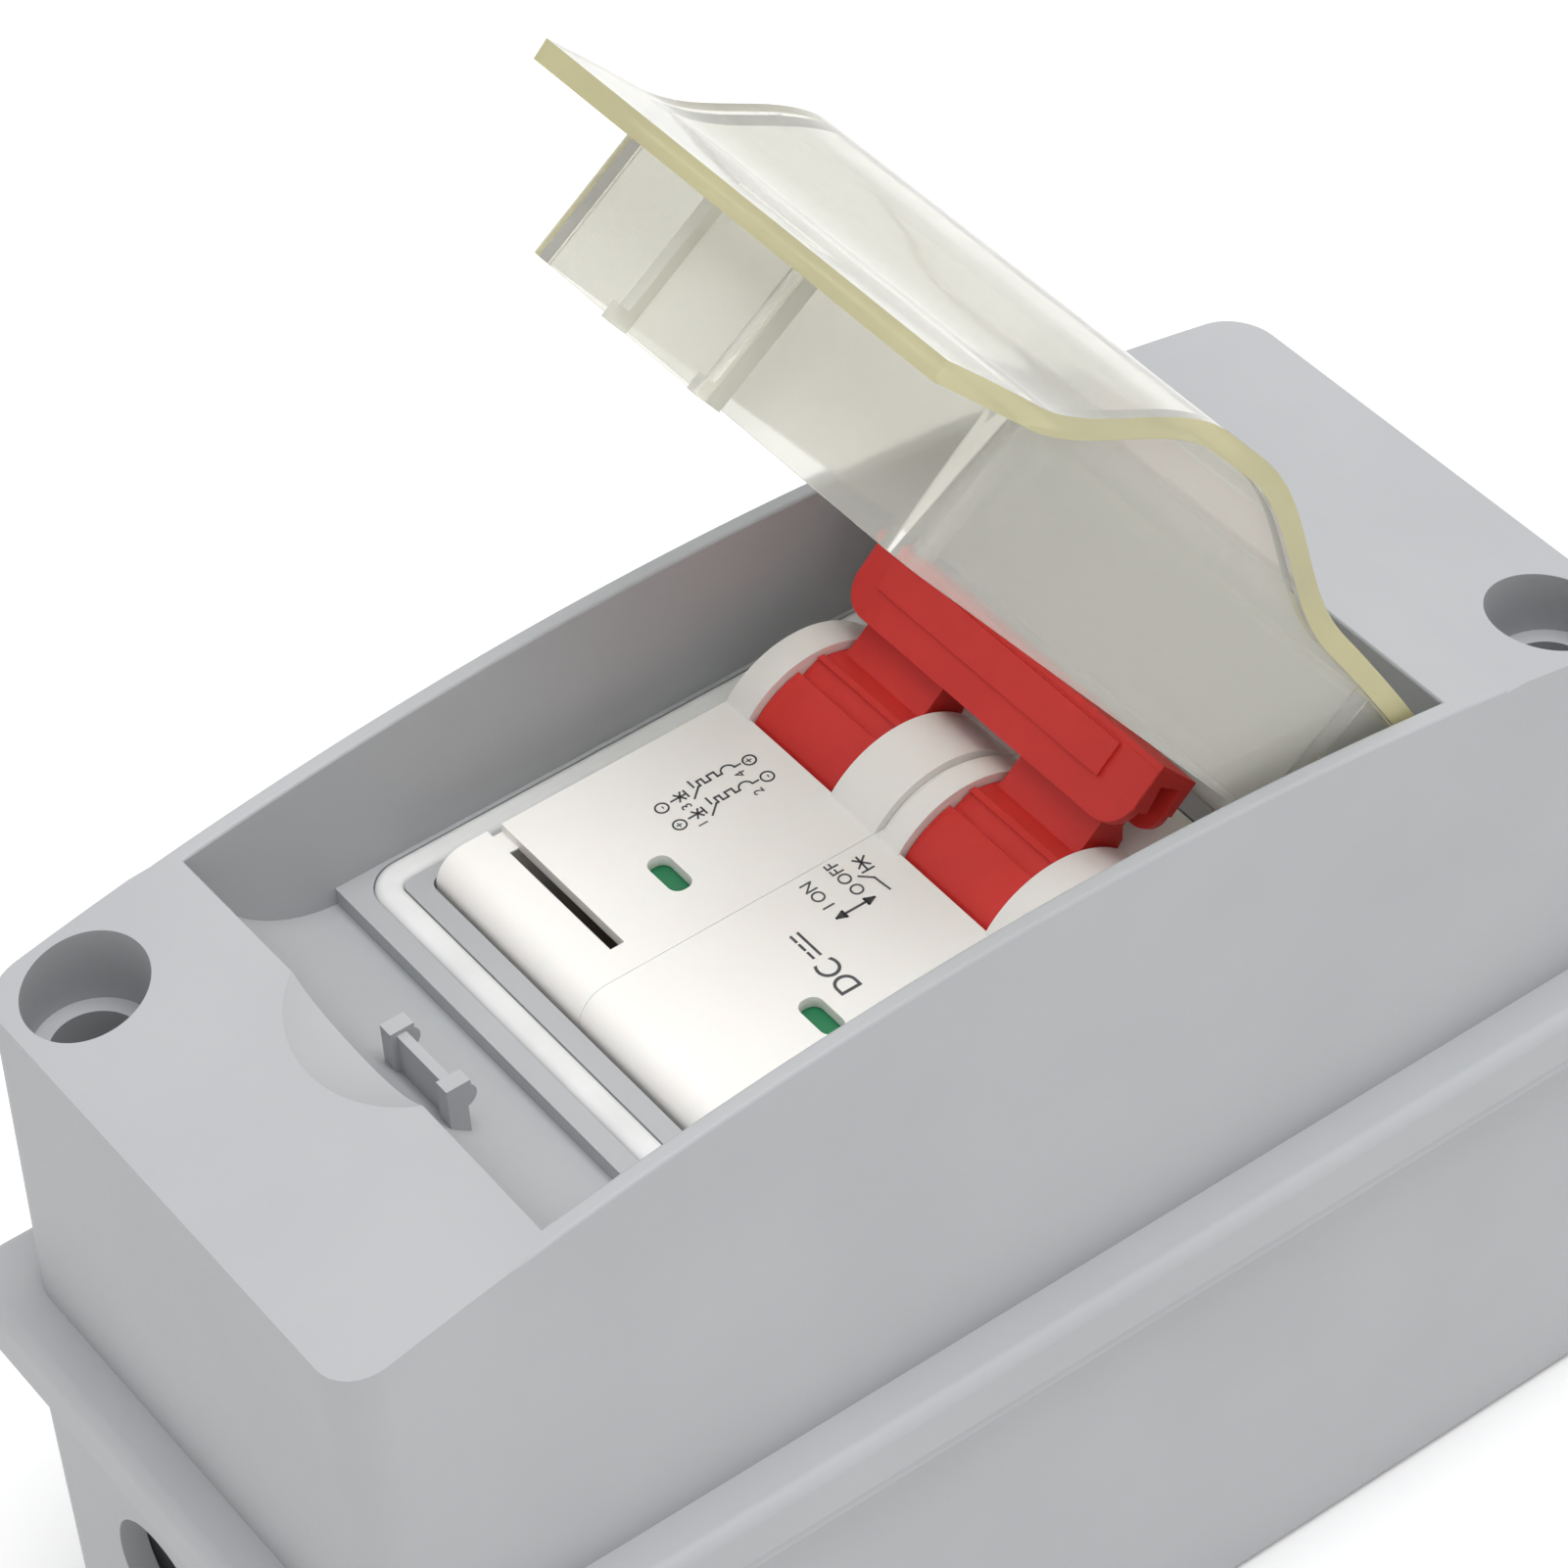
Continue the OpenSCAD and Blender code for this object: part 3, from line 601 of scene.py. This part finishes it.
printed("near_nose_print", marks)


# ---- Toggles -------------------------------------------------------------------------------
# Two drums of red polyamide, one in each pole, with a groove and a low rib along the drum and a
# waisted blade that the tie bar clips over. They lean away from the latch end when off.
red = moulded("red_polyamide", (0.72, 0.040, 0.033), (0.64, 0.033, 0.028), 0.46, grain=0.05,
              grain_size=900, mottle=70, spec=0.35)
toggle_off = 38


def prism(name, points, y0, y1):
    """A solid with the given outline in X and Z, from y0 to y1."""
    only(None)
    bpy.ops.mesh.primitive_circle_add(vertices=len(points), radius=1, fill_type="NGON")
    piece = bpy.context.object
    piece.name = piece.data.name = name
    for v, (x, z) in zip(piece.data.vertices, points):
        v.co = (x, y0, z)
    bpy.ops.object.mode_set(mode="EDIT")
    bpy.ops.mesh.select_all(action="SELECT")
    bpy.ops.mesh.extrude_region_move(TRANSFORM_OT_translate={"value": (0, y1 - y0, 0)})
    bpy.ops.mesh.select_all(action="SELECT")
    bpy.ops.mesh.normals_make_consistent(inside=False)
    bpy.ops.object.mode_set(mode="OBJECT")
    return piece


def lean(piece):
    """From upright about the origin to the off position on the toggles' axis."""
    piece.data.transform(Matrix.Translation((toggle_x, 0, toggle_z))
                         @ Matrix.Rotation(math.radians(toggle_off), 4, "Y"))


for name, node, y in (("toggle_drum_far", "toggle_far", 0),
                      ("toggle_drum_near", "toggle_near", -pole)):
    a, b = y + drum_from + 0.1, y + drum_to - 0.1
    piece = rod(name, "Y", 7.4, (0, 0), (a, b), 96)
    add(piece, prism("blade", [(-3, 6), (-2.2, 7.7), (-1.85, 9.4), (-1.9, 11.9), (-1.1, 11.9),
                               (-0.9, 14.1), (0.7, 14.1), (0.7, 9.6), (1.4, 8.6), (1.4, 6)],
                     a + 0.4, b - 0.4))
    rib = block("rib", (-0.45, 0.45), (a + 0.05, b - 0.05), (6.5, 7.72))
    rib.data.transform(Matrix.Rotation(math.radians(-36.5), 4, "Y"))
    add(piece, rib)
    groove = block("groove", (-0.85, 0.85), (a - 1, b + 1), (0, 2))
    groove.data.transform(Matrix.Rotation(math.radians(-43), 4, "Y")
                          @ Matrix.Translation((0, 0, 7.12))
                          @ Matrix.Rotation(math.radians(-22), 4, "Y"))
    cut(piece, groove)
    cut(piece, rod("bore", "Y", 1.56, (0, 0), (a - 1, b + 1), 32))
    lean(piece)
    clean(piece)
    soften(piece, 0.22, 3)
    finish(piece, red)
    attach(piece, "handle")
    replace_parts(piece, node)


# ---- Tie bar -------------------------------------------------------------------------------
# A channel of the same red plastic that snaps over both blades, so one finger moves both poles.
# Its front plate has round ends and a raised panel, and its web slopes to a shorter back plate.
bar = prism("tie_bar_channel", [(-2.8, 12.1), (-2.1, 15.95), (2.2, 15.05), (1.6, 12.1), (0.8, 12.1),
                                (0.8, 14.3), (-1.2, 14.3), (-1.2, 12.1)], -14.9, 17.1)
front = block("front_plate", (0, 0.9), (-14.85, 17.05), (0, 5.5))
round_edges(front, lambda a, b: near(a.z, 0) and near(b.z, 0) and near(a.y, b.y), 2.6, 10)
add(front, block("panel", (-0.3, 0.3), (-10.9, 14.6), (2.5, 5.3)))
front.data.transform(Matrix.Translation((-3.25, 0, 10.05))
                     @ Matrix.Rotation(math.radians(10.4), 4, "Y"))
behind = block("back_plate", (0.85, 1.55), (-14.7, 16.9), (10.1, 12.6))
round_edges(behind, lambda a, b: near(a.z, 10.1) and near(b.z, 10.1) and near(a.y, b.y), 1.9, 8)
add(bar, front, behind)
lean(bar)
clean(bar)
soften(bar, 0.2, 3)
finish(bar, red)
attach(bar, "handle")
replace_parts(bar, "handle_tie_bar")


# ---- Metal and inner parts -----------------------------------------------------------------
# Zinc-plated steel screws, rail, pins, springs and arc plates; bare copper straps and coils; a
# brass insert under each cover screw; and small dark or tan plastic parts inside the sealed
# cases. Their shapes come from the design as they are.
def metal(name, colour, other, rough, stretch=(1, 1, 1), scale=700, bump_by=0.08):
    """Plated or drawn metal: two tints in streaks along the drawing direction."""
    material, nodes, links, shader = tree(name)
    at = nodes.new("ShaderNodeTexCoord")
    place = nodes.new("ShaderNodeMapping")
    place.inputs["Scale"].default_value = stretch
    streak = nodes.new("ShaderNodeTexNoise")
    streak.inputs["Scale"].default_value = scale
    streak.inputs["Detail"].default_value = 5
    links.new(at.outputs["Object"], place.inputs["Vector"])
    links.new(place.outputs["Vector"], streak.inputs["Vector"])
    mix = nodes.new("ShaderNodeMixRGB")
    mix.inputs[1].default_value = (*colour, 1)
    mix.inputs[2].default_value = (*other, 1)
    links.new(streak.outputs["Fac"], mix.inputs[0])
    links.new(mix.outputs[0], shader.inputs["Base Color"])
    gloss = nodes.new("ShaderNodeMapRange")
    gloss.inputs["To Min"].default_value = rough - 0.08
    gloss.inputs["To Max"].default_value = rough + 0.1
    links.new(streak.outputs["Fac"], gloss.inputs["Value"])
    links.new(gloss.outputs["Result"], shader.inputs["Roughness"])
    bump = nodes.new("ShaderNodeBump")
    bump.inputs["Strength"].default_value = bump_by
    bump.inputs["Distance"].default_value = 0.0001
    links.new(streak.outputs["Fac"], bump.inputs["Height"])
    links.new(bump.outputs["Normal"], shader.inputs["Normal"])
    shader.inputs["Metallic"].default_value = 1
    return material


zinc = metal("zinc_plate", (0.66, 0.67, 0.68), (0.54, 0.55, 0.57), 0.34, (1, 0.2, 1))
copper = metal("bare_copper", (0.80, 0.42, 0.27), (0.62, 0.30, 0.19), 0.3, (0.3, 1, 1))
brass = metal("bare_brass", (0.78, 0.60, 0.28), (0.66, 0.48, 0.2), 0.32)
silver = metal("silvered", (0.80, 0.79, 0.75), (0.66, 0.65, 0.61), 0.3, (1, 1, 0.2))
rubber = moulded("black_rubber", (0.035, 0.035, 0.035), (0.022, 0.022, 0.022), 0.7, grain=0.3)
dark = moulded("black_phenolic", (0.05, 0.048, 0.046), (0.032, 0.03, 0.03), 0.4)
fibre = moulded("tan_fibre", (0.50, 0.38, 0.24), (0.42, 0.31, 0.19), 0.75, grain=0.4,
                grain_size=500, mottle=300)
# The flags' green is partly their own colour and partly painted shade: it is darkened to stand in for
# the shade that falls on them deep in their windows.
green = moulded("green_flag", (0.026, 0.235, 0.10), (0.02, 0.19, 0.082), 0.4)
skins = {
    zinc: ["cover_screws", "din_rail", "rail_screws", "case_rivets", "toggle_pins",
           "arc_chute_plates", "trip_plungers", "terminal_cages", "terminal_screws",
           "clip_springs"],
    copper: ["moving_contacts", "fixed_contacts", "trip_coils", "terminal_straps"],
    brass: ["cover_inserts"], silver: ["contact_tips", "bimetal_strips"],
    rubber: ["cover_seal"], dark: ["contact_shaft", "blowout_magnets", "coil_bobbins"],
    fibre: ["arc_chute_frames"], green: ["flag_far", "flag_near"],
    cream: ["rail_clip_far", "rail_clip_near"]}
for skin, names in skins.items():
    for name in names:
        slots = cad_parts[name].data.materials
        if not slots:
            slots.append(skin)
        for i in range(len(slots)):
            slots[i] = skin


# ---- Camera, light and floor ---------------------------------------------------------------
# A plain pale floor, a large soft light overhead and to the right, and a camera a little to the
# left of the box's near side, looking down on it.
scene = bpy.context.scene
scene.view_settings.view_transform = "Standard"
camera = bpy.data.objects.new("camera", bpy.data.cameras.new("camera"))
scene.collection.objects.link(camera)
scene.camera = camera
az, el, roll = (math.radians(angle) for angle in (-32.1, 43.765, -5.346))
back = Vector((math.sin(az) * math.cos(el), -math.cos(az) * math.cos(el), math.sin(el)))
right = Vector((math.cos(az), math.sin(az), 0))
up = back.cross(right)
right, up = (math.cos(roll) * right + math.sin(roll) * up,
             math.cos(roll) * up - math.sin(roll) * right)
camera.matrix_world = Matrix.Translation((-0.162588, -0.2419, 0.356929)) @ Matrix(
    (right, up, back)).transposed().to_4x4()
camera.data.lens = 133.07
camera.data.sensor_width = 36
camera.data.shift_x = 0.0544
camera.data.shift_y = -0.0061
camera.data.clip_start = 0.01

only(None)
bpy.ops.mesh.primitive_plane_add(size=6, location=(0, 0, -0.0002))
floor = bpy.context.object
floor.name = "floor"
material, nodes, links, shader = tree("floor_paper")
shader.inputs["Base Color"].default_value = (0.95, 0.95, 0.95, 1)
shader.inputs["Roughness"].default_value = 0.9
floor.data.materials.append(material)

world = bpy.data.worlds.new("studio")
scene.world = world
world.use_nodes = True
world.node_tree.nodes["Background"].inputs["Color"].default_value = (1, 1, 1, 1)
world.node_tree.nodes["Background"].inputs["Strength"].default_value = 0.72


def lamp(name, place, size, power):
    data = bpy.data.lights.new(name, "AREA")
    data.shape = "DISK"
    data.size = size
    data.energy = power
    piece = bpy.data.objects.new(name, data)
    scene.collection.objects.link(piece)
    piece.location = place
    piece.rotation_euler = (Vector((0, 0, 0.05)) - Vector(place)).to_track_quat("-Z", "Y").to_euler()


lamp("key", (0.1, -0.2, 1.35), 0.9, 12.5)
